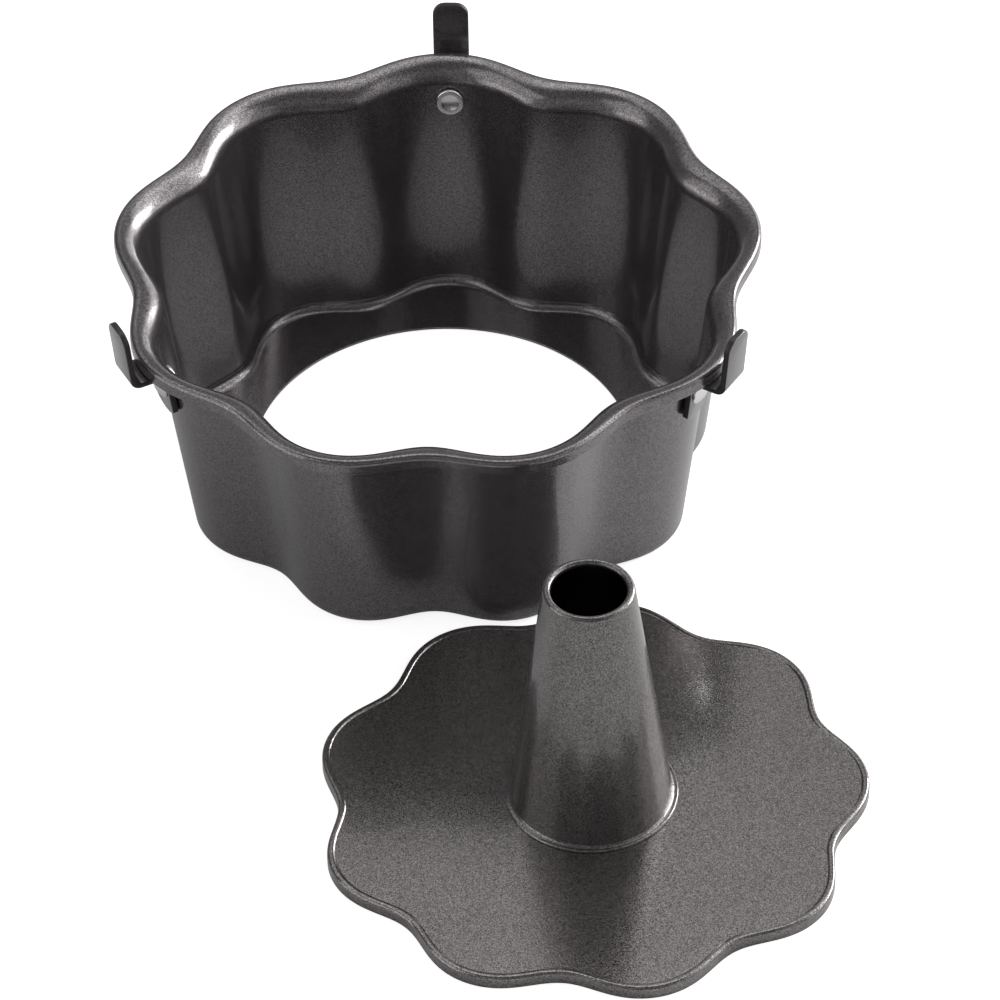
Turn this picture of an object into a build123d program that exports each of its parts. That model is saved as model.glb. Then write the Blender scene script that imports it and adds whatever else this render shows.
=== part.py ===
from build123d import *
import os
from math import acos, atan, atan2, cos, degrees, radians, sin, sqrt, tan

# An angel food cake pan in two loose halves: a lobed body with an open floor and three legs,
# and an insert made of a lobed base plate and a conical tube. The insert stands in front of
# the body, taken out. Lengths are millimetres and angles are degrees. The body's axis is Z,
# its floor rests on Z = 0, and the insert stands on the same level.

# Lobes, shared by the body and the insert
lobe_count = 9
crest_flat_share = 0.08  # second wave as a share of the first, which broadens the crests
points_per_lobe = 8

# Sheet and clearances
sheet = 0.8
plate_clearance = 0.1  # base plate inside the body's wall, at floor level
seam_clearance = 0.05  # between clinched or riveted pieces
leg_clearance = 0.1  # leg off the wall
skirt_clearance = 0.4  # leg under the rim's skirt
overrun = 5.0  # how far cuts run past the metal

# Body
lobe_azimuth = 89.3  # direction of one lobe's crest
pan_height = 96.0
foot_radius = 94.6  # outside of the wall carried down to the floor, mean over the lobes
foot_wave = 4.65
wall_top_radius = 106.7  # outside of the wall carried up to the rim's height
wall_top_wave = 4.9
rim_width = 8.8  # the rim's skirt outside of the wall, at the rim's height
rim_wave = 4.2
foot_fillet = 5.1
flare_radius = 6.9
shoulder_radius = 1.8
skirt_depth = 5.4
floor_hole_radius = 70.6
fillet_steps = 2
flare_steps = 3
shoulder_steps = 2

# Legs
leg_names = ("back", "left", "right")
leg_azimuth = 88.4  # direction of the back leg, just beside a crest
leg_width = 13.4
leg_sheet = 2.3
tab_gap = 4.6  # the upright tab off the rim's skirt, at the rim's height
leg_lean = 5.3  # the tab leans outwards
leg_rise = 16.9  # the tab's top above the rim
leg_hang = 27.5  # the strip's lower tip below the rim
leg_bend_radius = 2.0  # inside of both bends
tab_corner_radius = 4.7
tip_round_radius = 9.9

# Rivets
rivet_drop = 15.0  # the rivets below the rim
shank_radius = 2.5
head_radius = 5.3
inner_head_height = 1.5
outer_head_height = 1.7
head_standoff = 0.65  # the inner head's flat back off the hollow wall, at its middle
dish_radius = 3.4
dish_depth = 0.5
head_bevel = 0.6

# Insert
insert_x = 55.4
insert_y = -185.5
insert_azimuth = 83.8  # direction of one lobe's crest on the insert
plate_height = 5.1
plate_wave = 4.5
plate_shoulder_radius = 1.2
bead_width = 2.8
bead_rise = 0.5
bead_slope_width = 0.6

# Centre tube
tube_height = 101.8
tube_top_radius = 15.85  # outside of the cone carried up to the mouth's height
tube_foot_radius = 28.75  # outside of the cone carried down to the plate
lip_radius = 1.5  # section of the rolled mouth
foot_ring_radius = 30.6
foot_ring_height = 1.0
foot_ring_edge_radius = 0.6
foot_fillet_radius = 1.2
tube_corner_steps = 2
lip_steps = 8
neck_radius = 27.6
clinch_radius = 30.0


def swing(azimuth):
    """The lobes' wave in one direction, measured from a crest."""
    phase = radians(lobe_count * azimuth)
    return cos(phase) - crest_flat_share * cos(2 * phase)


def lobed_face(section, wave, crest, centre):
    """A flat lobed face whose mean radius and height are given by section."""
    mean_radius, height = section
    count = lobe_count * points_per_lobe
    points = []
    for step in range(count):
        turn = 360 * step / count
        reach = mean_radius + wave * swing(turn)
        direction = radians(crest + turn)
        points.append((reach * cos(direction), reach * sin(direction)))
    with BuildSketch(Plane(origin=(centre[0], centre[1], height))) as outline:
        with BuildLine():
            Spline(*points, periodic=True)
        make_face()
    return outline.sketch


def arc_points(centre, radius, start, end, steps):
    """Points of a rounded corner as (radius from the axis, height)."""
    angles = [radians(start + (end - start) * step / steps) for step in range(steps + 1)]
    return [(centre[0] + radius * cos(a), centre[1] + radius * sin(a)) for a in angles]


def stack(profile, wave_at, crest, centre):
    """The lobed faces that a ruled loft joins, one for each profile point."""
    return [lobed_face(section, wave_at(section[1]), crest, centre) for section in profile]


def wall_radius(height):
    """Mean radius of the wall's outside."""
    return foot_radius + (wall_top_radius - foot_radius) * height / pan_height


def wall_wave(height):
    """Depth of the wall's lobes, from the foot up into the flare."""
    return foot_wave + (wall_top_wave - foot_wave) * min(height, pan_height) / pan_height


def rim_wave_at(height):
    """Depth of the rim's lobes, the same all down its skirt."""
    return rim_wave


def wall_reach(height):
    """Distance from the axis to the wall's outside where the legs are."""
    return wall_radius(height) + wall_wave(height) * swing(leg_azimuth - lobe_azimuth)


def plate_wave_at(height):
    """Depth of the base plate's lobes, the same at every height."""
    return plate_wave


body_centre = (0, 0)
insert_centre = (insert_x, insert_y)

rim_radius = wall_top_radius + rim_width
rivet_height = pan_height - rivet_drop
leg_top = pan_height + leg_rise
leg_tip = pan_height - leg_hang

# The wall's slope, and the centres of the two rounded corners that it runs into
wall_tilt = degrees(atan((wall_top_radius - foot_radius) / pan_height))
sheet_across = sheet / cos(radians(wall_tilt))
foot_tangent = foot_fillet * (1 - sin(radians(wall_tilt)))
foot_centre = (wall_radius(foot_tangent) - foot_fillet * cos(radians(wall_tilt)), foot_fillet)
flare_tangent = pan_height - flare_radius * (1 - sin(radians(wall_tilt)))
flare_centre = (
    wall_radius(flare_tangent) - sheet_across + flare_radius * cos(radians(wall_tilt)),
    pan_height - flare_radius,
)
shoulder_centre = (rim_radius - shoulder_radius, pan_height - shoulder_radius)
skirt_bottom = pan_height - skirt_depth

# The pan's outside: floor, rounded foot, wall and the underside of the flare
outside = arc_points(foot_centre, foot_fillet, -90, -wall_tilt, fillet_steps)
outside += arc_points(flare_centre, flare_radius - sheet, 180 - wall_tilt, 90, flare_steps)
outside += [(flare_centre[0], pan_height - sheet / 2)]

# The pan's cavity: the same skin one sheet further in
cavity = arc_points(foot_centre, foot_fillet - sheet, -90, -wall_tilt, fillet_steps)
cavity += arc_points(flare_centre, flare_radius, 180 - wall_tilt, 90, flare_steps)
cavity += [(flare_centre[0], pan_height + overrun)]

# The rim's cap: skirt, shoulder and flat top
rim_cap = [(rim_radius, skirt_bottom)]
rim_cap += arc_points(shoulder_centre, shoulder_radius, 0, 90, shoulder_steps)
rim_hollow = [(rim_radius - sheet, skirt_bottom - overrun), (rim_radius - sheet, pan_height - sheet)]

# Where the rivets go: through the wall, square to it
rivet_tilt = degrees(atan2(wall_reach(pan_height) - wall_reach(0), pan_height))
leg_azimuths = [leg_azimuth + 360 * index / len(leg_names) for index in range(len(leg_names))]


def radial_plane(azimuth):
    """Upright plane through the body's axis: local X runs outwards, local Y up."""
    direction = radians(azimuth)
    return Plane(
        origin=(0, 0, 0),
        x_dir=(cos(direction), sin(direction), 0),
        z_dir=(sin(direction), -cos(direction), 0),
    )


def rivet_plane(azimuth):
    """Upright plane with local X along a rivet, square to the wall, from the wall's outside."""
    direction = radians(azimuth)
    tilt = radians(rivet_tilt)
    reach = wall_reach(rivet_height)
    return Plane(
        origin=(reach * cos(direction), reach * sin(direction), rivet_height),
        x_dir=(cos(tilt) * cos(direction), cos(tilt) * sin(direction), -sin(tilt)),
        z_dir=(sin(direction), -cos(direction), 0),
    )


def rivet_hole_plane(azimuth):
    """Plane on the wall's outside that faces along the rivet, outwards."""
    along = rivet_plane(azimuth)
    return Plane(origin=along.origin, z_dir=along.x_dir)


with BuildPart() as pan_shell:
    loft(stack(rim_cap, rim_wave_at, lobe_azimuth, body_centre), ruled=True)
    loft(stack(rim_hollow, rim_wave_at, lobe_azimuth, body_centre), ruled=True, mode=Mode.SUBTRACT)
    loft(stack(outside, wall_wave, lobe_azimuth, body_centre), ruled=True)
    loft(stack(cavity, wall_wave, lobe_azimuth, body_centre), ruled=True, mode=Mode.SUBTRACT)
    with BuildSketch(Plane.XY):
        Circle(floor_hole_radius)
    extrude(amount=sheet + overrun, both=True, mode=Mode.SUBTRACT)
    for azimuth in leg_azimuths:
        with BuildSketch(rivet_hole_plane(azimuth)):
            Circle(shank_radius + seam_clearance)
        extrude(amount=overrun, both=True, mode=Mode.SUBTRACT)

# A leg's middle line: up the wall, out under the skirt, up into the leaning tab. It runs past
# both ends of the strip, which its front outline then cuts.
run_height = skirt_bottom - skirt_clearance - leg_sheet / 2
wall_gap = (leg_clearance + leg_sheet / 2) / cos(radians(rivet_tilt))
tab_across = leg_sheet / cos(radians(leg_lean))
rim_reach = rim_radius + rim_wave * swing(leg_azimuth - lobe_azimuth)
tab_middle = rim_reach + tab_gap + tab_across / 2


def tab_reach(height):
    """Distance from the axis to the middle of the tab's sheet."""
    return tab_middle + (height - pan_height) * tan(radians(leg_lean))


tip_corner = leg_tip + tip_round_radius - sqrt(tip_round_radius ** 2 - (leg_width / 2) ** 2)
leg_route = [
    (wall_reach(leg_tip - overrun) + wall_gap, leg_tip - overrun),
    (wall_reach(run_height) + wall_gap, run_height),
    (tab_reach(run_height), run_height),
    (tab_reach(leg_top + overrun), leg_top + overrun),
]


def make_leg(azimuth):
    """One bent strip with a rounded tip on the wall and rounded corners on its tab."""
    upright = radial_plane(azimuth)
    front = Plane(origin=(0, 0, 0), x_dir=-upright.z_dir, z_dir=upright.x_dir)
    with BuildPart() as leg:
        with BuildSketch(upright):
            with BuildLine():
                FilletPolyline(*leg_route, radius=leg_bend_radius + leg_sheet / 2)
            trace(line_width=leg_sheet)
        extrude(amount=leg_width / 2, both=True)
        with BuildSketch(front) as outline:
            with BuildLine():
                Polyline(
                    (-leg_width / 2, tip_corner),
                    (-leg_width / 2, leg_top),
                    (leg_width / 2, leg_top),
                    (leg_width / 2, tip_corner),
                )
                ThreePointArc((leg_width / 2, tip_corner), (0, leg_tip), (-leg_width / 2, tip_corner))
            make_face()
            fillet(outline.vertices().group_by(Axis.Y)[-1], radius=tab_corner_radius)
        extrude(amount=tab_reach(leg_top) + tab_across + overrun, mode=Mode.INTERSECT)
        with BuildSketch(rivet_hole_plane(azimuth)):
            Circle(shank_radius + seam_clearance)
        extrude(amount=leg_sheet + overrun, mode=Mode.SUBTRACT)
    return leg


def make_rivet(azimuth):
    """A dished inner head, a shank through wall and leg, and a domed outer head."""
    plane = rivet_plane(azimuth)
    back = -sheet - head_standoff
    inner_top = back - inner_head_height
    seat = leg_clearance + leg_sheet + seam_clearance
    outer_edge = seat + head_bevel
    outer_top = outer_edge + outer_head_height
    with BuildPart() as rivet:
        with BuildSketch(plane):
            with BuildLine():
                Polyline(
                    (outer_top, 0),
                    (inner_top + dish_depth, 0),
                    (inner_top, dish_radius),
                    (inner_top, head_radius - head_bevel),
                    (inner_top + head_bevel, head_radius),
                    (back, head_radius),
                    (back, shank_radius),
                    (seat, shank_radius),
                    (seat, head_radius),
                    (outer_edge, head_radius),
                )
                TangentArc((outer_top, 0), (outer_edge, head_radius), tangent=(0, 1))
            make_face()
        revolve(axis=Axis(plane.origin, plane.x_dir))
    return rivet


# Base plate: its skirt just fits inside the body's wall
plate_radius = foot_radius - sheet_across - plate_clearance
panel_height = plate_height - bead_rise
plate_edge_centre = (plate_radius - plate_shoulder_radius, plate_height - plate_shoulder_radius)
plate_form = [(plate_radius, 0)]
plate_form += arc_points(plate_edge_centre, plate_shoulder_radius, 0, 90, shoulder_steps)
plate_underside = [(plate_radius - sheet, -overrun), (plate_radius - sheet, panel_height - sheet)]
bead_foot = plate_radius - bead_width
plate_panel = [
    (bead_foot, panel_height),
    (bead_foot + bead_slope_width, plate_height),
    (bead_foot + bead_slope_width, plate_height + overrun),
]
insert_base = Plane(origin=(insert_x, insert_y, 0))
insert_upright = Plane(origin=(insert_x, insert_y, 0), x_dir=(1, 0, 0), z_dir=(0, -1, 0))
insert_axis = Axis((insert_x, insert_y, 0), (0, 0, 1))

with BuildPart() as base_plate:
    loft(stack(plate_form, plate_wave_at, insert_azimuth, insert_centre), ruled=True)
    loft(
        stack(plate_underside, plate_wave_at, insert_azimuth, insert_centre),
        ruled=True,
        mode=Mode.SUBTRACT,
    )
    loft(
        stack(plate_panel, plate_wave_at, insert_azimuth, insert_centre),
        ruled=True,
        mode=Mode.SUBTRACT,
    )
    with BuildSketch(insert_base):
        Circle(neck_radius + seam_clearance)
    extrude(amount=plate_height + overrun, mode=Mode.SUBTRACT)

# Centre tube: a cone with a rolled mouth, a low ring on the plate and a clinched neck
ring_seat = panel_height + seam_clearance
ring_top = ring_seat + foot_ring_height
tube_slope = (tube_foot_radius - tube_top_radius) / (tube_height - panel_height)
tube_tilt = atan(tube_slope)
tube_sheet_across = sheet / cos(tube_tilt)


def tube_radius(height):
    """Outside of the cone."""
    return tube_top_radius + (tube_height - height) * tube_slope


lip_height = tube_height - lip_radius
lip_middle = tube_radius(lip_height) - lip_radius / cos(tube_tilt)
foot_arc_height = ring_top + foot_fillet_radius
foot_arc_middle = tube_radius(foot_arc_height) + foot_fillet_radius / cos(tube_tilt)
ring_edge_centre = (foot_ring_radius - foot_ring_edge_radius, ring_top - foot_ring_edge_radius)
clinch_top = panel_height - sheet - seam_clearance
clinch_bottom = clinch_top - sheet

# The tube's section: rolled lip, cone, concave foot, ring, neck, clinch, and back up inside
lip_close = degrees(tube_tilt) - degrees(acos((lip_radius - sheet) / lip_radius))
tube_section = arc_points(
    (lip_middle, lip_height), lip_radius, 360 + lip_close, degrees(tube_tilt), lip_steps
)
tube_section += arc_points(
    (foot_arc_middle, foot_arc_height),
    foot_fillet_radius,
    180 + degrees(tube_tilt),
    270,
    tube_corner_steps,
)
tube_section += arc_points(ring_edge_centre, foot_ring_edge_radius, 90, 0, tube_corner_steps)
tube_section += [
    (foot_ring_radius, ring_seat),
    (neck_radius, ring_seat),
    (neck_radius, clinch_top),
    (clinch_radius, clinch_top),
    (clinch_radius, clinch_bottom),
    (neck_radius - sheet, clinch_bottom),
    (neck_radius - sheet, ring_seat),
    (tube_radius(ring_top) - tube_sheet_across, ring_top),
]

with BuildPart() as centre_tube:
    with BuildSketch(insert_upright):
        with BuildLine():
            Polyline(*tube_section, close=True)
        make_face()
    revolve(axis=insert_axis)

os.makedirs("parts", exist_ok=True)
pan_shell.part.label = "pan_shell"
export_step(pan_shell.part, "parts/pan_shell.step")
base_plate.part.label = "base_plate"
export_step(base_plate.part, "parts/base_plate.step")
centre_tube.part.label = "centre_tube"
export_step(centre_tube.part, "parts/centre_tube.step")
for name, azimuth in zip(leg_names, leg_azimuths):
    leg = make_leg(azimuth)
    leg.part.label = name + "_leg"
    export_step(leg.part, "parts/" + name + "_leg.step")
    rivet = make_rivet(azimuth)
    rivet.part.label = name + "_rivet"
    export_step(rivet.part, "parts/" + name + "_rivet.step")
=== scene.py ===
import bpy
import bmesh
from math import acos, atan, atan2, cos, pi, radians, sin, sqrt, tan
from mathutils import Matrix, Vector


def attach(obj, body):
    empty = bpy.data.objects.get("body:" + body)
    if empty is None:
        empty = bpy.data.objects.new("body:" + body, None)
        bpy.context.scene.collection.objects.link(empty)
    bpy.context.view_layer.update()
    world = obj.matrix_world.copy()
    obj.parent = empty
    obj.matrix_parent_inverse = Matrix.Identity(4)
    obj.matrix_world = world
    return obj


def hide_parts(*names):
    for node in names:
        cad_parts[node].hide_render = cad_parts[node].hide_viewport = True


# An angel food cake pan in two loose halves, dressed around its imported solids. Lengths are
# metres and angles radians, where nothing else is said. The lobed body stands on the origin,
# and its insert stands in front of it.

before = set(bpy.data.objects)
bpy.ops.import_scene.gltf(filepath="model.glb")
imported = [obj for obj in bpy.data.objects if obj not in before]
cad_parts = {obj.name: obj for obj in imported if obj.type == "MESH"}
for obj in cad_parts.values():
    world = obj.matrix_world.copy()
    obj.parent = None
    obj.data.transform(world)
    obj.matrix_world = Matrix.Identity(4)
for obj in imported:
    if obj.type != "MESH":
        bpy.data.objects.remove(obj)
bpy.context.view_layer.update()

# Lobes, shared by the body and the insert
lobe_count = 9
crest_flat_share = 0.08  # second wave as a share of the first, which broadens the crests
steps_per_lobe = 40
around_steps = lobe_count * steps_per_lobe

# Body
sheet = 0.0008
body_crest = radians(89.3)
body_height = 0.096
foot_radius = 0.0946  # outside of the wall carried down to the floor, mean over the lobes
foot_wave = 0.00465
wall_top_radius = 0.1067  # outside of the wall carried up to the rim's height
wall_top_wave = 0.0049
rim_width = 0.0088  # the rim's skirt outside of the wall, at the rim's height
rim_radius = wall_top_radius + rim_width
rim_wave = 0.0042
wall_tilt = atan((wall_top_radius - foot_radius) / body_height)
wall_across = sheet / cos(wall_tilt)  # the wall's sheet, measured level
foot_fillet = 0.0051
rim_slope = radians(5)  # how far the rim's top still slopes inwards where its shoulder starts
shoulder_radius = 0.0018
skirt_depth = 0.0054
floor_hole_radius = 0.0706
hole_edge_radius = 0.0003

# Legs
leg_names = ("back", "left", "right")
leg_direction = radians(88.4)
leg_width = 0.0134
leg_sheet = 0.0023
leg_clearance = 0.0001
skirt_clearance = 0.0004
tab_gap = 0.0046  # the upright tab off the rim's skirt, at the rim's height
leg_lean = radians(5.3)
leg_rise = 0.0169  # the tab's top over the rim
leg_drop = 0.0275  # the rounded tip on the wall under the rim
leg_top = body_height + leg_rise
leg_tip = body_height - leg_drop
leg_bend_radius = 0.002
tab_corner_radius = 0.0047
tip_round_radius = 0.0099
leg_edge_radius = 0.00035
leg_edge_angle = radians(40)  # corners of the strip that are sharper than this are rounded

# Rivets
rivet_drop = 0.015  # the rivet's middle under the rim
rivet_height = body_height - rivet_drop
shank_radius = 0.0025
head_radius = 0.0053
inner_head_height = 0.0015
outer_head_height = 0.0017
head_standoff = 0.00065
dish_radius = 0.0034
dish_depth = 0.0005
head_edge_radius = 0.0006
seam_clearance = 0.00005

# Insert
insert_x = 0.0554
insert_y = -0.1855
insert_crest = radians(83.8)
plate_clearance = 0.0001
plate_height = 0.0051
plate_wave = 0.0045
plate_shoulder_radius = 0.0012
bead_width = 0.0028
bead_rise = 0.0005
bead_slope_width = 0.0006
bead_crease_radius = 0.0004

# Centre tube
tube_height = 0.1018
tube_top_radius = 0.01585
tube_foot_radius = 0.02875
lip_radius = 0.0015
foot_ring_radius = 0.0306
foot_ring_height = 0.001
foot_ring_edge_radius = 0.0006
foot_fillet_radius = 0.0012
neck_radius = 0.0276
clinch_radius = 0.03
tube_steps = 128

quarter = pi / 2
full_turn = 2 * pi

# How finely the round stretches are drawn
fillet_steps = 10
flare_steps = 14
shoulder_steps = 6
hem_steps = 8
hole_edge_steps = 3
crease_steps = 4
lip_steps = 24
foot_steps = 6
bend_steps = 10
corner_steps = 10
tip_cuts = 11
leg_edge_steps = 3
dome_steps = 14
rivet_steps = 48
flat_margin = 0.0002  # a straight stretch keeps its own shading up to here from its ends
most_margin_share = 1 / 3  # a stretch whose margins would take more of it has none
seam_merge = 0.000001

# Finishes
flakes_per_metre = 4000
flake_tilt = 0.03
flake_middle = (0.5, 0.5, 0.5)  # the mean of the flakes' random colours
roughness_spread = 0.05
body_roughness = 0.23
body_dark = (0.05, 0.0465, 0.048, 1)
body_light = (0.33, 0.306, 0.318, 1)
plate_roughness = 0.19
plate_dark = (0.02, 0.0187, 0.0184, 1)
plate_light = (0.41, 0.383, 0.376, 1)
tube_roughness = 0.24
tube_dark = (0.005, 0.0047, 0.0047, 1)
tube_light = (0.34, 0.318, 0.315, 1)
coating_metallic = 0.86
coating_gloss = 0.8
gloss_roughness = 0.1
cloud_low = 0.92  # how much darker and lighter the coating's colour drifts
cloud_high = 1.08
strip_dark = (0.085, 0.078, 0.081, 1)
strip_light = (0.14, 0.13, 0.134, 1)
strip_metallic = 0.6
strip_gloss = 1
# Near-black colour of the legs' narrow edges: painted shade, standing in for the shade and the
# dark wall's reflection on them
edge_shade_dark = (0.015, 0.014, 0.015, 1)
edge_shade_light = (0.045, 0.042, 0.044, 1)
rivet_dark = (0.84, 0.84, 0.85, 1)
rivet_light = (0.96, 0.96, 0.97, 1)
skin_depth = 0.0001

# Studio
white = (1, 1, 1, 1)
floor_half = 4
floor_color = (0.8, 0.8, 0.8, 1)
floor_glow = 0.8
room_light = 0.15
box_distance = 2.5
# Soft boxes as seen from the pan: azimuth, elevation, width and height in degrees, brightness
soft_boxes = (
    ("window low", 30, 7, 32, 13, 5.81),
    ("window middle", 30, 20, 32, 13, 13.36),
    ("window high", 30, 34, 32, 15, 1.94),
    ("window top", 36, 51, 34, 17, 1.77),
    ("right low", 0, 10, 28, 18, 1.61),
    ("right high", 0, 34, 28, 30, 1.17),
    ("horizon behind", 90, 4, 60, 8, 0.38),
    ("back low", 95, 24, 50, 30, 0.08),
    ("behind low", 60, 13, 28, 24, 1.28),
    ("back high", 112, 45, 42, 10, 0.46),
    ("back upper", 109, 57, 50, 14, 0.75),
    ("back top", 100, 69, 60, 10, 0.75),
    ("left low", 200, 12, 44, 22, 1.37),
    ("left high", 200, 42, 44, 34, 0.78),
    ("front left", 245, 25, 30, 40, 0.16),
    ("front", 280, 40, 40, 30, 0.11),
    ("front right", 328, 22, 34, 40, 0.36),
    ("overhead", 70, 72, 40, 28, 0.78),
)

# The photograph's camera, found from the outlines of the rim, the foot and the base plate
camera_target = (0.0277, -0.09275, 0.03026)
camera_distance = 2.2912
camera_azimuth = -0.024
camera_elevation = 0.7411
camera_yaw = -0.0025
camera_pitch = -0.0094
camera_roll = -0.0245
sensor_width = 36  # millimetres, as the lens is
lens = 229.9
clip_reach = 10  # the camera sees from a tenth of its distance to ten times as far


def swing(turn):
    """The lobes' wave in one direction, measured from a crest."""
    phase = lobe_count * turn
    return cos(phase) - crest_flat_share * cos(2 * phase)


def place_on_arc(centre, radius, direction):
    """The point of a round corner, as (radius from the axis, height), in one direction."""
    return (centre[0] + radius * cos(direction), centre[1] + radius * sin(direction))


def begin_section(mesh, point):
    """First vertex of a sheet's section, which is drawn in the plane Y = 0."""
    return mesh.verts.new((point[0], 0, point[1]))


def run_to(mesh, vertex, point):
    """Draws a straight stretch of a section, with a margin at both ends, and returns its end."""
    start = vertex.co.copy()
    finish = Vector((point[0], 0, point[1]))
    margin = flat_margin / max(flat_margin, (finish - start).length)
    stops = (margin, 1 - margin, 1) if margin < most_margin_share else (1,)
    for stop in stops:
        vertex = bmesh.ops.extrude_vert_indiv(mesh, verts=[vertex])["verts"][0]
        vertex.co = start.lerp(finish, stop)
    return vertex


def turn_about(mesh, vertex, centre, angle, steps):
    """Draws a round stretch of a section, anticlockwise where angle is positive."""
    made = bmesh.ops.spin(
        mesh,
        geom=[vertex],
        cent=(centre[0], 0, centre[1]),
        axis=(0, 1, 0),
        angle=-angle,
        steps=steps,
    )
    return made["geom_last"][0]


def close_section(mesh, first, last):
    """Joins the last stretch of a section to its first."""
    bmesh.ops.pointmerge(mesh, verts=[first, last], merge_co=first.co.copy())


def carry_round(mesh, steps):
    """Carries a section once round the axis."""
    bmesh.ops.spin(
        mesh,
        geom=mesh.verts[:] + mesh.edges[:],
        cent=(0, 0, 0),
        axis=(0, 0, 1),
        angle=full_turn,
        steps=steps,
        use_merge=True,
    )


def share_between(value, low, high):
    """How far value lies between low and high, kept from 0 to 1."""
    return min(1, max(0, (value - low) / (high - low)))


def press_lobes(mesh, crest, wave_at):
    """Presses lobes into a round sheet, as deep as wave_at says for each radius and height."""
    for vertex in mesh.verts:
        reach = vertex.co.xy.length
        direction = atan2(vertex.co.y, vertex.co.x)
        lobed = reach + wave_at(reach, vertex.co.z) * swing(direction - crest)
        vertex.co.x *= lobed / reach
        vertex.co.y *= lobed / reach


def make_piece(mesh, name, body, node, material):
    """Closes a mesh's seams, turns it outside out and puts it in its CAD node's place."""
    bmesh.ops.remove_doubles(mesh, verts=mesh.verts, dist=seam_merge)
    bmesh.ops.recalc_face_normals(mesh, faces=mesh.faces)
    for face in mesh.faces:
        face.smooth = True
    data = bpy.data.meshes.new(name)
    mesh.to_mesh(data)
    mesh.free()
    data.materials.append(material)
    piece = bpy.data.objects.new(name, data)
    bpy.context.scene.collection.objects.link(piece)
    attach(piece, body)
    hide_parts(node)
    return piece


def wall_radius(height):
    """Mean radius of the wall's outside."""
    return foot_radius + (wall_top_radius - foot_radius) * height / body_height


def wall_wave(height):
    """Depth of the wall's lobes, from the foot up into the flare."""
    return foot_wave + (wall_top_wave - foot_wave) * min(height, body_height) / body_height


def wall_reach(height):
    """Distance from the axis to the wall's outside where the legs are."""
    return wall_radius(height) + wall_wave(height) * swing(leg_direction - body_crest)


def wall_tilt_at_legs():
    """How far the wall leans outwards where the legs are."""
    return atan2(wall_reach(body_height) - wall_reach(0), body_height)


def make_body(material):
    """The lobed body: floor ledge, rounded foot, wall, flared rim and folded skirt, one sheet."""
    foot_height = foot_fillet * (1 - sin(wall_tilt))
    foot_centre = (wall_radius(foot_height) - foot_fillet * cos(wall_tilt), foot_fillet)
    shoulder_centre = (rim_radius - shoulder_radius, body_height - shoulder_radius)
    lost_reach = shoulder_radius * (sin(rim_slope) - tan(wall_tilt) * (1 - cos(rim_slope)))
    flare_radius = (shoulder_centre[0] - wall_top_radius + wall_across - lost_reach) / (
        1 / cos(wall_tilt) - sin(rim_slope) - tan(wall_tilt) * cos(rim_slope)
    )
    flare_centre = (
        shoulder_centre[0] + (flare_radius - shoulder_radius) * sin(rim_slope),
        shoulder_centre[1] - (flare_radius - shoulder_radius) * cos(rim_slope),
    )
    hem_centre = (rim_radius - sheet / 2, body_height - skirt_depth + sheet / 2)
    edge_top = (floor_hole_radius + hole_edge_radius, sheet - hole_edge_radius)
    edge_bottom = (floor_hole_radius + hole_edge_radius, hole_edge_radius)

    def body_wave(reach, height):
        lobed = share_between(reach, floor_hole_radius + 2 * hole_edge_radius, foot_centre[0])
        on_rim = share_between(reach, wall_top_radius, shoulder_centre[0])
        return lobed * ((1 - on_rim) * wall_wave(height) + on_rim * rim_wave)

    mesh = bmesh.new()
    first = begin_section(mesh, (edge_bottom[0], 0))
    last = run_to(mesh, first, (foot_centre[0], 0))
    last = turn_about(mesh, last, foot_centre, quarter - wall_tilt, fillet_steps)
    last = run_to(mesh, last, place_on_arc(flare_centre, flare_radius - sheet, pi - wall_tilt))
    last = turn_about(mesh, last, flare_centre, wall_tilt + rim_slope - quarter, flare_steps)
    last = turn_about(mesh, last, shoulder_centre, -quarter - rim_slope, shoulder_steps)
    last = run_to(mesh, last, (rim_radius - sheet, hem_centre[1]))
    last = turn_about(mesh, last, hem_centre, pi, hem_steps)
    last = run_to(mesh, last, (rim_radius, shoulder_centre[1]))
    last = turn_about(mesh, last, shoulder_centre, quarter + rim_slope, shoulder_steps)
    last = turn_about(mesh, last, flare_centre, quarter - rim_slope - wall_tilt, flare_steps)
    last = run_to(mesh, last, place_on_arc(foot_centre, foot_fillet - sheet, -wall_tilt))
    last = turn_about(mesh, last, foot_centre, wall_tilt - quarter, fillet_steps)
    last = run_to(mesh, last, (edge_top[0], sheet))
    last = turn_about(mesh, last, edge_top, quarter, hole_edge_steps)
    last = run_to(mesh, last, (floor_hole_radius, edge_bottom[1]))
    last = turn_about(mesh, last, edge_bottom, quarter, hole_edge_steps)
    close_section(mesh, first, last)
    carry_round(mesh, around_steps)
    press_lobes(mesh, body_crest, body_wave)
    return make_piece(mesh, "lobed_body", "pan", "pan_shell", material)


def turn_mesh(mesh, angle, axis):
    """Turns a whole mesh about one of the axes through the origin."""
    turn = Matrix.Rotation(angle, 3, axis)
    bmesh.ops.rotate(mesh, verts=mesh.verts, cent=(0, 0, 0), matrix=turn)


def move_to_insert(mesh):
    """Moves a piece that was made round the origin to where the insert stands."""
    bmesh.ops.translate(mesh, verts=mesh.verts, vec=(insert_x, insert_y, 0))


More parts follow.
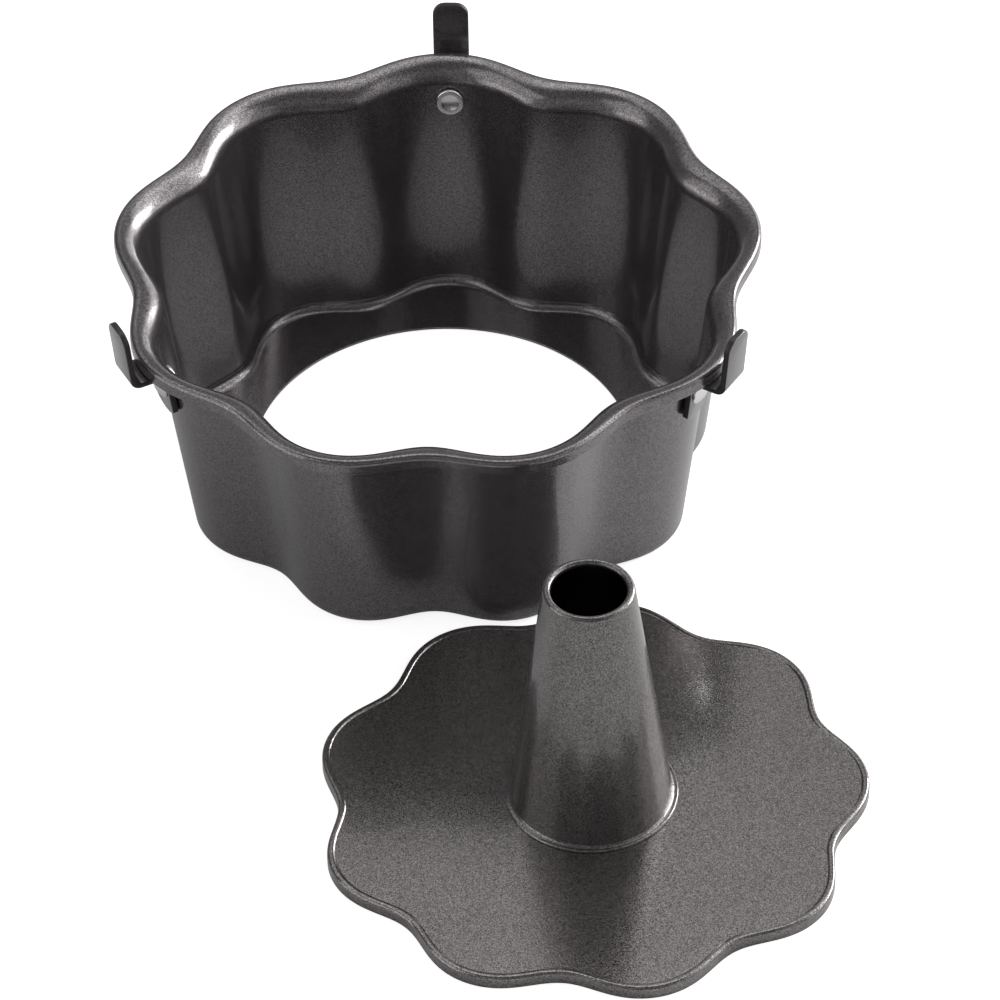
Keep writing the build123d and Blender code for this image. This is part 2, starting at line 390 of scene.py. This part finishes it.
def make_plate(material):
    """The loose bottom: a flat panel, a rounded bead round it, and a skirt down to the floor."""
    radius = foot_radius - wall_across - plate_clearance
    panel = plate_height - bead_rise
    shoulder_centre = (radius - plate_shoulder_radius, plate_height - plate_shoulder_radius)
    cut_centre = (radius - sheet / 2, sheet / 2)
    hole = neck_radius + seam_clearance
    bead_foot = radius - bead_width
    slope = atan2(bead_rise, bead_slope_width)
    crest_reach = plate_shoulder_radius * tan(slope / 2)
    crease_reach = bead_crease_radius * tan(slope / 2)

    def plate_wave_at(reach, height):
        return share_between(reach, hole, bead_foot - 2 * crease_reach) * plate_wave

    mesh = bmesh.new()
    first = begin_section(mesh, (hole, panel - sheet))
    last = run_to(mesh, first, (radius - plate_shoulder_radius, panel - sheet))
    inner_corner = (radius - plate_shoulder_radius, panel - plate_shoulder_radius)
    last = turn_about(mesh, last, inner_corner, -quarter, shoulder_steps)
    last = run_to(mesh, last, (radius - sheet, cut_centre[1]))
    last = turn_about(mesh, last, cut_centre, pi, hem_steps)
    last = run_to(mesh, last, (radius, shoulder_centre[1]))
    last = turn_about(mesh, last, shoulder_centre, quarter, shoulder_steps)
    crest_centre = (bead_foot + bead_slope_width + crest_reach, shoulder_centre[1])
    last = run_to(mesh, last, (crest_centre[0], plate_height))
    last = turn_about(mesh, last, crest_centre, slope, crease_steps)
    crease_centre = (bead_foot - crease_reach, panel + bead_crease_radius)
    last = run_to(mesh, last, place_on_arc(crease_centre, bead_crease_radius, slope - quarter))
    last = turn_about(mesh, last, crease_centre, -slope, crease_steps)
    last = run_to(mesh, last, (hole, panel))
    bmesh.ops.contextual_create(mesh, geom=[first, last])
    carry_round(mesh, around_steps)
    press_lobes(mesh, insert_crest, plate_wave_at)
    move_to_insert(mesh)
    return make_piece(mesh, "loose_bottom", "insert", "base_plate", material)


def make_tube(material):
    """The conical tube: rolled mouth, cone, foot ring and the neck clinched under the plate."""
    panel = plate_height - bead_rise
    seat = panel + seam_clearance
    ring_top = seat + foot_ring_height
    slope = (tube_foot_radius - tube_top_radius) / (tube_height - panel)
    tilt = atan(slope)
    across = sheet / cos(tilt)

    def cone(height):
        return tube_top_radius + (tube_height - height) * slope

    lip_height = tube_height - lip_radius
    lip_centre = (cone(lip_height) - lip_radius / cos(tilt), lip_height)
    foot_height = ring_top + foot_fillet_radius
    foot_centre = (cone(foot_height) + foot_fillet_radius / cos(tilt), foot_height)
    ring_centre = (foot_ring_radius - foot_ring_edge_radius, ring_top - foot_ring_edge_radius)
    clinch_top = panel - sheet - seam_clearance
    clinch_centre = (clinch_radius - sheet / 2, clinch_top - sheet / 2)
    lip_close = full_turn + tilt - acos((lip_radius - sheet) / lip_radius)

    mesh = bmesh.new()
    first = begin_section(mesh, place_on_arc(lip_centre, lip_radius, lip_close))
    last = turn_about(mesh, first, lip_centre, tilt - lip_close, lip_steps)
    last = run_to(mesh, last, place_on_arc(foot_centre, foot_fillet_radius, pi + tilt))
    last = turn_about(mesh, last, foot_centre, quarter - tilt, foot_steps)
    last = run_to(mesh, last, (ring_centre[0], ring_top))
    last = turn_about(mesh, last, ring_centre, -quarter, foot_steps)
    last = run_to(mesh, last, (foot_ring_radius, seat))
    last = run_to(mesh, last, (neck_radius, seat))
    last = run_to(mesh, last, (neck_radius, clinch_top))
    last = run_to(mesh, last, (clinch_centre[0], clinch_top))
    last = turn_about(mesh, last, clinch_centre, -pi, hem_steps)
    last = run_to(mesh, last, (neck_radius - sheet, clinch_top - sheet))
    last = run_to(mesh, last, (neck_radius - sheet, seat))
    last = run_to(mesh, last, (cone(ring_top) - across, ring_top))
    bmesh.ops.contextual_create(mesh, geom=[first, last])
    carry_round(mesh, tube_steps)
    move_to_insert(mesh)
    return make_piece(mesh, "cone_tube", "insert", "centre_tube", material)


def draw_on(mesh, edges, shift):
    """Draws a strip's end edge on along a straight stretch and returns the new end edge."""
    made = bmesh.ops.extrude_edge_only(mesh, edges=edges)["geom"]
    corners = [item for item in made if isinstance(item, bmesh.types.BMVert)]
    bmesh.ops.translate(mesh, verts=corners, vec=(shift[0], 0, shift[1]))
    drawn = [item for item in made if isinstance(item, bmesh.types.BMEdge)]
    return [edge for edge in drawn if set(edge.verts) == set(corners)]


def bend_on(mesh, edges, centre, angle):
    """Bends a strip's end edge on about centre, anticlockwise where angle is positive."""
    made = bmesh.ops.spin(
        mesh,
        geom=edges + list(edges[0].verts),
        cent=(centre[0], 0, centre[1]),
        axis=(0, 1, 0),
        angle=-angle,
        steps=bend_steps,
    )
    return [item for item in made["geom_last"] if isinstance(item, bmesh.types.BMEdge)]


def make_leg(name, direction, material, edge_shade_material):
    """One bent strip: along the wall, out under the skirt and up into a leaning tab."""
    tilt = wall_tilt_at_legs()
    run_height = body_height - skirt_depth - skirt_clearance - leg_sheet / 2
    wall_gap = (leg_clearance + leg_sheet / 2) / cos(tilt)
    bend = leg_bend_radius + leg_sheet / 2
    up_wall = Vector((sin(tilt), cos(tilt)))
    up_tab = Vector((sin(leg_lean), cos(leg_lean)))
    rim_reach = rim_radius + rim_wave * swing(leg_direction - body_crest)
    tab_middle = rim_reach + tab_gap + leg_sheet / 2 / cos(leg_lean)
    tab_reach = tab_middle - (body_height - run_height) * tan(leg_lean)
    tip_corner = leg_tip + tip_round_radius - sqrt(tip_round_radius ** 2 - (leg_width / 2) ** 2)
    first_reach = bend * tan((quarter - tilt) / 2)
    second_reach = bend * tan((quarter - leg_lean) / 2)
    first_bend = Vector((wall_reach(run_height) + wall_gap, run_height)) - up_wall * first_reach
    first_centre = first_bend + bend * Vector((cos(tilt), -sin(tilt)))
    second_bend = Vector((tab_reach - second_reach, run_height))
    second_centre = second_bend + Vector((0, bend))
    tip = Vector((wall_reach(tip_corner) + wall_gap, tip_corner))
    tab_start = Vector((tab_reach, run_height)) + up_tab * second_reach
    tab_length = (leg_top - tab_start.y) / cos(leg_lean)

    mesh = bmesh.new()
    low = mesh.verts.new((tip.x, -leg_width / 2, tip.y))
    high = bmesh.ops.extrude_vert_indiv(mesh, verts=[low])["verts"][0]
    high.co.y = leg_width / 2
    tip_edge = mesh.edges[:]
    edges = draw_on(mesh, tip_edge, first_bend - tip)
    edges = bend_on(mesh, edges, first_centre, tilt - quarter)
    edges = draw_on(mesh, edges, (second_bend.x - edges[0].verts[0].co.x, 0))
    edges = bend_on(mesh, edges, second_centre, quarter - leg_lean)
    edges = draw_on(mesh, edges, up_tab * (tab_length - 2 * tab_corner_radius))
    edges = draw_on(mesh, edges, up_tab * 2 * tab_corner_radius)
    bmesh.ops.bevel(
        mesh,
        geom=list(edges[0].verts),
        offset=tab_corner_radius,
        offset_type="OFFSET",
        affect="VERTICES",
        segments=corner_steps,
        profile=0.5,
        material=-1,
    )
    cut = bmesh.ops.subdivide_edges(mesh, edges=tip_edge, cuts=tip_cuts)["geom_inner"]
    for vertex in [item for item in cut if isinstance(item, bmesh.types.BMVert)]:
        arc_height = sqrt(tip_round_radius ** 2 - vertex.co.y ** 2)
        drop = arc_height - tip_round_radius + tip_corner - leg_tip
        vertex.co.x -= drop * tan(tilt)
        vertex.co.z -= drop
    turn_mesh(mesh, direction, "Z")
    piece = make_piece(mesh, name + "_hook", "pan", name + "_leg", material)
    thick = piece.modifiers.new("strip thickness", "SOLIDIFY")
    thick.thickness = leg_sheet
    thick.offset = 0
    # The strip's narrow edges get the near-black painted shade
    piece.data.materials.append(edge_shade_material)
    thick.material_offset_rim = 1
    edge = piece.modifiers.new("rounded edges", "BEVEL")
    edge.width = leg_edge_radius
    edge.segments = leg_edge_steps
    edge.limit_method = "ANGLE"
    edge.angle_limit = leg_edge_angle
    return piece


def make_rivet(name, direction, material):
    """A rivet square to the wall: dished head inside, shank, and domed head on the leg."""
    tilt = wall_tilt_at_legs()
    back = -sheet - head_standoff
    inner_top = back - inner_head_height
    seat = leg_clearance + leg_sheet + seam_clearance
    outer_edge = seat + head_edge_radius
    outer_top = outer_edge + outer_head_height
    dome_radius = (outer_head_height ** 2 + head_radius ** 2) / (2 * outer_head_height)
    dome_centre = (0, outer_top - dome_radius)
    dome_turn = atan2(head_radius, outer_edge - dome_centre[1])
    inner_corner = (head_radius - head_edge_radius, inner_top + head_edge_radius)

    mesh = bmesh.new()
    last = begin_section(mesh, (0, outer_top))
    last = turn_about(mesh, last, dome_centre, -dome_turn, dome_steps)
    last = run_to(mesh, last, (head_radius, seat))
    last = run_to(mesh, last, (shank_radius, seat))
    last = run_to(mesh, last, (shank_radius, back))
    last = run_to(mesh, last, (head_radius, back))
    last = run_to(mesh, last, (head_radius, inner_corner[1]))
    last = turn_about(mesh, last, inner_corner, -quarter, shoulder_steps)
    last = run_to(mesh, last, (dish_radius, inner_top))
    hollow_radius = (dish_depth ** 2 + dish_radius ** 2) / (2 * dish_depth)
    hollow_centre = (0, inner_top + dish_depth - hollow_radius)
    hollow_turn = atan2(dish_radius, hollow_radius - dish_depth)
    turn_about(mesh, last, hollow_centre, hollow_turn, dome_steps)
    carry_round(mesh, rivet_steps)
    turn_mesh(mesh, quarter + tilt, "Y")
    bmesh.ops.translate(mesh, verts=mesh.verts, vec=(wall_reach(rivet_height), 0, rivet_height))
    turn_mesh(mesh, direction, "Z")
    return make_piece(mesh, name + "_stud", "pan", name + "_rivet", material)


class Finish:
    """A material's nodes, added one at a time. Its patterns lie in the piece's own coordinates."""

    def __init__(self, name):
        self.material = bpy.data.materials.new(name)
        self.material.use_nodes = True
        self.tree = self.material.node_tree
        self.shader = self.tree.nodes["Principled BSDF"]
        self.place = self.add("ShaderNodeTexCoord").outputs["Object"]

    def add(self, kind, **settings):
        node = self.tree.nodes.new(kind)
        for setting, value in settings.items():
            setattr(node, setting, value)
        return node

    def wire(self, start, end):
        self.tree.links.new(start, end)

    def noise(self, scale, detail):
        node = self.add("ShaderNodeTexNoise")
        node.inputs["Scale"].default_value = scale
        node.inputs["Detail"].default_value = detail
        self.wire(self.place, node.inputs["Vector"])
        return node.outputs["Fac"]

    def spread(self, value, low, high):
        node = self.add("ShaderNodeMapRange")
        node.inputs["To Min"].default_value = low
        node.inputs["To Max"].default_value = high
        self.wire(value, node.inputs["Value"])
        return node.outputs["Result"]

    def mix(self, factor, dark, light):
        node = self.add("ShaderNodeMix", data_type="RGBA")
        node.inputs["A"].default_value = dark
        node.inputs["B"].default_value = light
        self.wire(factor, node.inputs["Factor"])
        return node.outputs["Result"]

    def skin(self, height, strength):
        node = self.add("ShaderNodeBump")
        node.inputs["Strength"].default_value = strength
        node.inputs["Distance"].default_value = skin_depth
        self.wire(height, node.inputs["Height"])
        return node.outputs["Normal"]

    def feed(self, socket, value):
        self.wire(value, self.shader.inputs[socket])

    def coat(self, weight):
        self.shader.inputs["Coat Weight"].default_value = weight
        self.shader.inputs["Coat Roughness"].default_value = gloss_roughness


def graphite_coating(name, dark, light, roughness):
    """Dark satin non-stick coating, full of fine metal flakes that tilt every way."""
    finish = Finish(name)
    flakes = finish.add("ShaderNodeTexVoronoi")
    flakes.inputs["Scale"].default_value = flakes_per_metre
    finish.wire(finish.place, flakes.inputs["Vector"])
    shade = finish.add("ShaderNodeSeparateColor")
    finish.wire(flakes.outputs["Color"], shade.inputs["Color"])

    clouds = finish.spread(finish.noise(scale=60, detail=4), cloud_low, cloud_high)
    cloudy = finish.add("ShaderNodeMix", data_type="RGBA", blend_type="MULTIPLY")
    cloudy.inputs["Factor"].default_value = 1
    finish.wire(finish.mix(shade.outputs["Red"], dark, light), cloudy.inputs["A"])
    finish.wire(clouds, cloudy.inputs["B"])
    finish.feed("Base Color", cloudy.outputs["Result"])

    lean = finish.add("ShaderNodeVectorMath", operation="SUBTRACT")
    lean.inputs[1].default_value = flake_middle
    finish.wire(flakes.outputs["Color"], lean.inputs[0])
    tilt = finish.add("ShaderNodeVectorMath", operation="SCALE")
    tilt.inputs["Scale"].default_value = flake_tilt
    finish.wire(lean.outputs["Vector"], tilt.inputs[0])
    facing = finish.add("ShaderNodeVectorMath", operation="ADD")
    finish.wire(finish.skin(finish.noise(scale=900, detail=2), strength=0.05), facing.inputs[0])
    finish.wire(tilt.outputs["Vector"], facing.inputs[1])
    whole = finish.add("ShaderNodeVectorMath", operation="NORMALIZE")
    finish.wire(facing.outputs["Vector"], whole.inputs[0])
    finish.feed("Normal", whole.outputs["Vector"])

    smears = finish.noise(scale=45, detail=3)
    finish.feed("Roughness", finish.spread(smears, roughness, roughness + roughness_spread))
    finish.shader.inputs["Metallic"].default_value = coating_metallic
    finish.coat(coating_gloss)
    return finish.material


def strip_coating():
    """Thin dark glossy coating on the legs' steel strip, a little uneven."""
    finish = Finish("leg strip coating")
    grain = finish.noise(scale=400, detail=5)
    smears = finish.noise(scale=120, detail=3)
    finish.feed("Base Color", finish.mix(grain, strip_dark, strip_light))
    finish.feed("Roughness", finish.spread(smears, low=0.18, high=0.28))
    finish.feed("Normal", finish.skin(finish.noise(scale=1500, detail=3), strength=0.2))
    finish.shader.inputs["Metallic"].default_value = strip_metallic
    finish.coat(strip_gloss)
    return finish.material


def painted_edge_shade():
    """Near-black painted shade on the narrow edges of the legs' strip, standing in for their shade
    and the dark wall they reflect.
    """
    finish = Finish("leg edge painted shade")
    grain = finish.noise(scale=900, detail=4)
    scores = finish.noise(scale=600, detail=3)
    finish.feed("Base Color", finish.mix(grain, edge_shade_dark, edge_shade_light))
    finish.feed("Roughness", finish.spread(scores, low=0.22, high=0.4))
    finish.feed("Normal", finish.skin(finish.noise(scale=3000, detail=3), strength=0.3))
    return finish.material


def rivet_metal():
    """Bright pressed metal of the rivets, faintly scuffed."""
    finish = Finish("bright rivet metal")
    grain = finish.noise(scale=700, detail=4)
    scuffs = finish.noise(scale=1800, detail=4)
    finish.feed("Base Color", finish.mix(grain, rivet_dark, rivet_light))
    finish.feed("Roughness", finish.spread(scuffs, low=0.16, high=0.3))
    finish.feed("Normal", finish.skin(finish.noise(scale=2500, detail=4), strength=0.25))
    finish.shader.inputs["Metallic"].default_value = 1
    return finish.material


def make_pan():
    """Every piece of the pan, in its finish."""
    body_coating = graphite_coating("body coating", body_dark, body_light, body_roughness)
    plate_coating = graphite_coating("plate coating", plate_dark, plate_light, plate_roughness)
    tube_coating = graphite_coating("tube coating", tube_dark, tube_light, tube_roughness)
    strip = strip_coating()
    # near-black painted shade for the legs' narrow edges
    edge_shade = painted_edge_shade()
    bright = rivet_metal()
    make_body(body_coating)
    make_plate(plate_coating)
    make_tube(tube_coating)
    for index, name in enumerate(leg_names):
        direction = leg_direction + index * full_turn / len(leg_names)
        make_leg(name, direction, strip, edge_shade)
        make_rivet(name, direction, bright)


def make_floor():
    """The plain floor. It is lit as any floor is, and the camera sees it pale all over."""
    mesh = bmesh.new()
    bmesh.ops.create_grid(mesh, x_segments=1, y_segments=1, size=floor_half)
    data = bpy.data.meshes.new("floor")
    mesh.to_mesh(data)
    mesh.free()
    floor = bpy.data.objects.new("floor", data)
    bpy.context.scene.collection.objects.link(floor)
    material = bpy.data.materials.new("pale floor")
    material.use_nodes = True
    tree = material.node_tree
    shader = tree.nodes["Principled BSDF"]
    shader.inputs["Base Color"].default_value = floor_color
    shader.inputs["Roughness"].default_value = 1
    shader.inputs["Specular IOR Level"].default_value = 0
    shader.inputs["Emission Color"].default_value = white
    rays = tree.nodes.new("ShaderNodeLightPath")
    glow = tree.nodes.new("ShaderNodeMath")
    glow.operation = "MULTIPLY"
    glow.inputs[1].default_value = floor_glow
    tree.links.new(rays.outputs["Is Camera Ray"], glow.inputs[0])
    tree.links.new(glow.outputs["Value"], shader.inputs["Emission Strength"])
    data.materials.append(material)


def make_sky():
    """A dim plain room round the soft boxes, which the camera sees as white."""
    world = bpy.data.worlds.new("studio")
    bpy.context.scene.world = world
    world.use_nodes = True
    tree = world.node_tree
    background = tree.nodes["Background"]
    background.inputs["Color"].default_value = white
    rays = tree.nodes.new("ShaderNodeLightPath")
    strength = tree.nodes.new("ShaderNodeMapRange")
    strength.inputs["To Min"].default_value = room_light
    strength.inputs["To Max"].default_value = 1
    tree.links.new(rays.outputs["Is Camera Ray"], strength.inputs["Value"])
    tree.links.new(strength.outputs["Result"], background.inputs["Strength"])


def make_soft_box(name, azimuth, elevation, width, height, brightness):
    """A soft box far out that faces the pan. Angles are as seen from the pan."""
    toward = Vector((cos(azimuth) * cos(elevation), sin(azimuth) * cos(elevation), sin(elevation)))
    data = bpy.data.lights.new(name, "AREA")
    data.shape = "RECTANGLE"
    data.size = 2 * box_distance * tan(width / 2)
    data.size_y = 2 * box_distance * tan(height / 2)
    data.energy = brightness * pi * data.size * data.size_y
    box = bpy.data.objects.new(name, data)
    box.matrix_world = Matrix.Translation(Vector(camera_target) + toward * box_distance) @ (
        toward.to_track_quat("Z", "Y").to_matrix().to_4x4()
    )
    box.visible_camera = False
    bpy.context.scene.collection.objects.link(box)


def make_camera():
    """The photograph's view: far off, above the front, with a long lens."""
    data = bpy.data.cameras.new("camera")
    data.sensor_width = sensor_width
    data.lens = lens
    data.clip_start = camera_distance / clip_reach
    data.clip_end = camera_distance * clip_reach
    camera = bpy.data.objects.new("camera", data)
    toward = Vector((
        -sin(camera_azimuth) * cos(camera_elevation),
        -cos(camera_azimuth) * cos(camera_elevation),
        sin(camera_elevation),
    ))
    yaw = camera_azimuth + camera_yaw
    pitch = camera_elevation + camera_pitch
    turn = (
        Matrix.Rotation(-yaw, 4, "Z")
        @ Matrix.Rotation(quarter - pitch, 4, "X")
        @ Matrix.Rotation(camera_roll, 4, "Z")
    )
    place = Matrix.Translation(Vector(camera_target) + toward * camera_distance)
    camera.matrix_world = place @ turn
    bpy.context.scene.collection.objects.link(camera)
    bpy.context.scene.camera = camera


make_pan()
make_floor()
make_sky()
for name, *angles, brightness in soft_boxes:
    make_soft_box(name, *map(radians, angles), brightness)
make_camera()

bpy.context.scene.view_settings.view_transform = "Standard"
